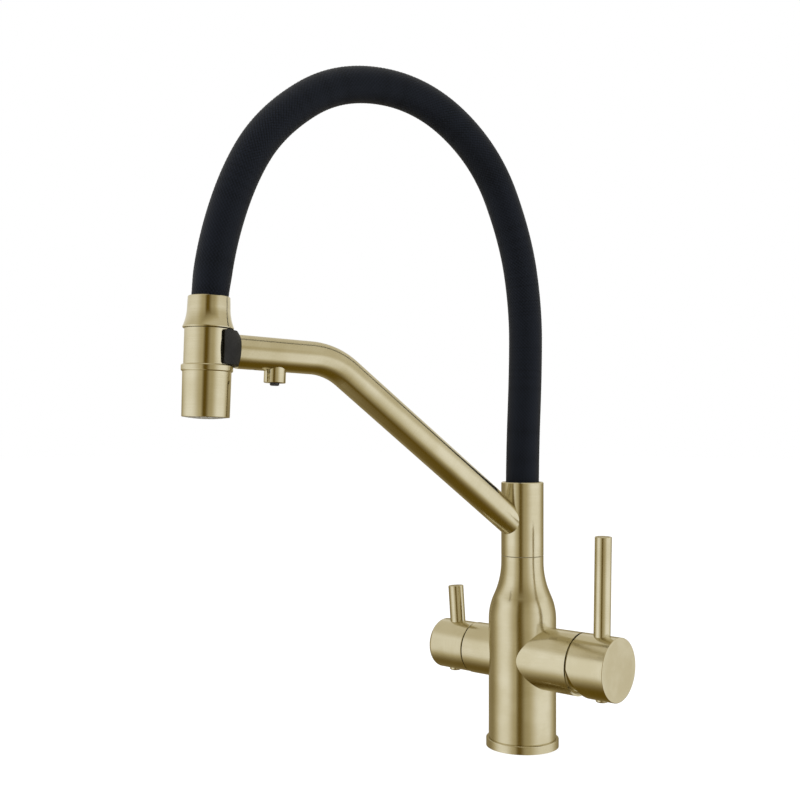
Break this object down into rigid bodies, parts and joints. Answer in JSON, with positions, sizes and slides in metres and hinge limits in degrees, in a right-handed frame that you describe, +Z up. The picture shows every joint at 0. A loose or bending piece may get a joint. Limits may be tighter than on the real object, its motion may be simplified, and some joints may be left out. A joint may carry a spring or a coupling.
{
  "type": "three way filtered water tap",
  "caption": "Deck mounted kitchen tap with a mixer lever, a filtered water valve, a swivel spout with its own filter outlet, and a docked spray head on a hose arch.",
  "frame": {"origin": "centre of the base flange's underside, at the mouth of the fixing stud's hole, on the deck", "axes": "+Z up along the column, +X along the mixer valve, -X along the filter valve, -Y towards the user"},
  "size_m": [0.1553, 0.2484, 0.4316],
  "materials": {
    "brushed_gold": "brushed satin, champagne gold plated",
    "raw_brass": "machined",
    "steel": "plain",
    "seal_rubber": "matte",
    "hose_braid": "fine diagonal weave, black",
    "liner_rubber": "smooth",
    "dock_black": "matte",
    "tip_black": "matte",
    "slip_brown": "moulded",
    "aerator_grey": "matte",
    "moulded_white": "moulded",
    "tube_white": "smooth",
    "ceramic": "polished ceramic"
  },
  "bodies": {
    "tap_body": {"base_flange": "brushed_gold", "base_gasket": "seal_rubber", "main_body": "brushed_gold", "neck_stem": "raw_brass", "stem_gasket": "seal_rubber", "swivel_o_rings": "seal_rubber", "slip_washer": "slip_brown", "snap_ring": "steel", "cartridge_base": "moulded_white", "cartridge_seals": "seal_rubber", "cartridge_shell": "moulded_white", "fixed_disc": "ceramic", "retaining_nut": "raw_brass", "trim_ring": "brushed_gold", "filter_valve_body": "raw_brass", "filter_rubber_seat": "seal_rubber", "filter_fixed_disc": "ceramic"},
    "mixer_rotor": {"cartridge_rotor": "moulded_white", "pivot_pin": "steel"},
    "mixer_lever": {"lever_stem": "raw_brass", "lever_cap": "brushed_gold", "lever_rod": "brushed_gold", "lever_grub_screw": "steel", "lever_plug": "brushed_gold"},
    "mixer_disc": {"moving_disc": "ceramic", "disc_carrier": "moulded_white"},
    "filter_handle": {"filter_moving_disc": "ceramic", "filter_spindle": "raw_brass", "spindle_o_ring": "seal_rubber", "filter_cap": "brushed_gold", "filter_rod": "brushed_gold", "filter_grub_screw": "steel", "filter_plug": "brushed_gold"},
    "spout": {"spout_column": "brushed_gold", "spout_arm": "brushed_gold", "filter_nipple": "raw_brass", "filter_tube": "tube_white", "filter_elbow": "moulded_white", "outlet_boss": "brushed_gold", "outlet_insert": "tip_black", "dock_cradle": "dock_black", "dock_magnet": "steel", "dock_screw": "steel", "hose_cover": "hose_braid", "hose_liner": "liner_rubber", "hose_nipple": "raw_brass"},
    "hose_end": {"head_ferrule": "brushed_gold", "hose_connector": "raw_brass", "connector_o_ring": "seal_rubber", "connector_clip": "steel"},
    "spray_head": {"head_sleeve": "brushed_gold", "head_ring": "brushed_gold", "nozzle_shell": "brushed_gold", "head_core": "moulded_white", "catch_ring": "steel", "aerator_housing": "aerator_grey", "aerator_screen": "aerator_grey"}
  },
  "joints": [
    {"name": "spout_swivel", "type": "hinge", "parent": "tap_body", "child": "spout", "pos_m": [0, 0, 0.142], "axis": [0, 0, 1], "continuous": true},
    {"name": "mixer_turn", "type": "hinge", "parent": "tap_body", "child": "mixer_rotor", "pos_m": [0, 0, 0.0599], "axis": [1, 0, 0], "range_deg": [-50, 50]},
    {"name": "lever_lift", "type": "hinge", "parent": "mixer_rotor", "child": "mixer_lever", "pos_m": [0.038, 0, 0.0599], "axis": [0, 1, 0], "range_deg": [0, 22]},
    {"name": "disc_slide", "type": "slide", "parent": "mixer_rotor", "child": "mixer_disc", "axis": [0, 0, 1], "range_m": [0, 0.0049]},
    {"name": "filter_turn", "type": "hinge", "parent": "tap_body", "child": "filter_handle", "pos_m": [0, 0, 0.0599], "axis": [1, 0, 0], "range_deg": [0, 90]},
    {"name": "head_pull", "type": "slide", "parent": "spout", "child": "hose_end", "axis": [-0.3055, -0.9517, 0.0314], "range_m": [0, 0.04], "deforming": ["hose_cover", "hose_liner"]},
    {"name": "head_turn", "type": "hinge", "parent": "hose_end", "child": "spray_head", "pos_m": [-0.06725, -0.20947, 0.25472], "axis": [0.0096, 0.0299, 0.9995], "continuous": true}
  ],
  "couplings": [
    {"joint": "disc_slide", "follows": "lever_lift", "m_per_rad": 0.012683}
  ]
}
